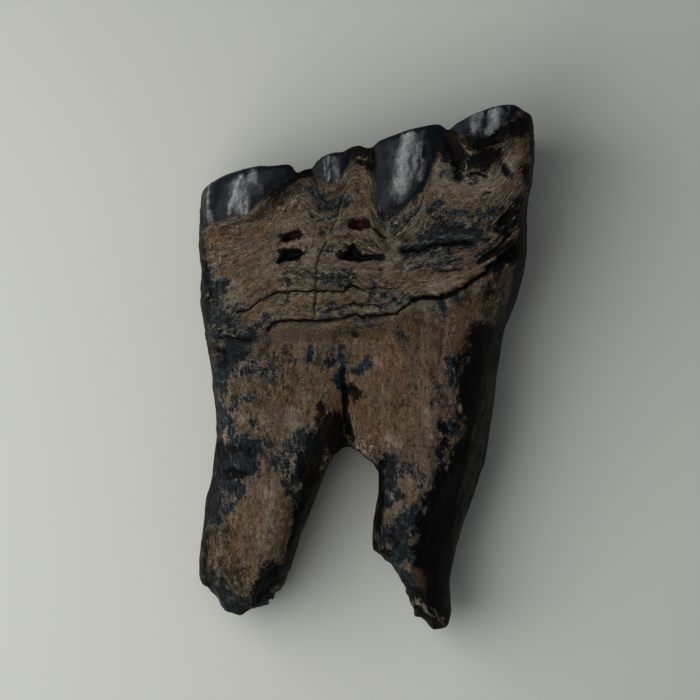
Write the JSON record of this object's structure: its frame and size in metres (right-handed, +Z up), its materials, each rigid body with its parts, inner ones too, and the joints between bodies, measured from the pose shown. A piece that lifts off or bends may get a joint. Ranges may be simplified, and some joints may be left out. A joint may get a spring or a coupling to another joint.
{
  "type": "fossil horse tooth",
  "caption": "Fossil horse cheek tooth with a worn crown and two broken roots, lying on its outer side.",
  "frame": {"origin": "on the resting plane, under the middle of the tooth", "axes": "+Y from the broken roots to the chewing end, +Z up from the resting plane to the flat inner side, +X to the right as seen from above with the crown away from the viewer"},
  "size_m": [0.0297, 0.0466, 0.0164],
  "materials": {
    "mineral_tooth": "mineral-stained cement, dull brown with blue-black patches, and glassy grey-blue enamel at the chewing end"
  },
  "bodies": {
    "root": {"fossil_tooth": "mineral_tooth"}
  },
  "joints": []
}
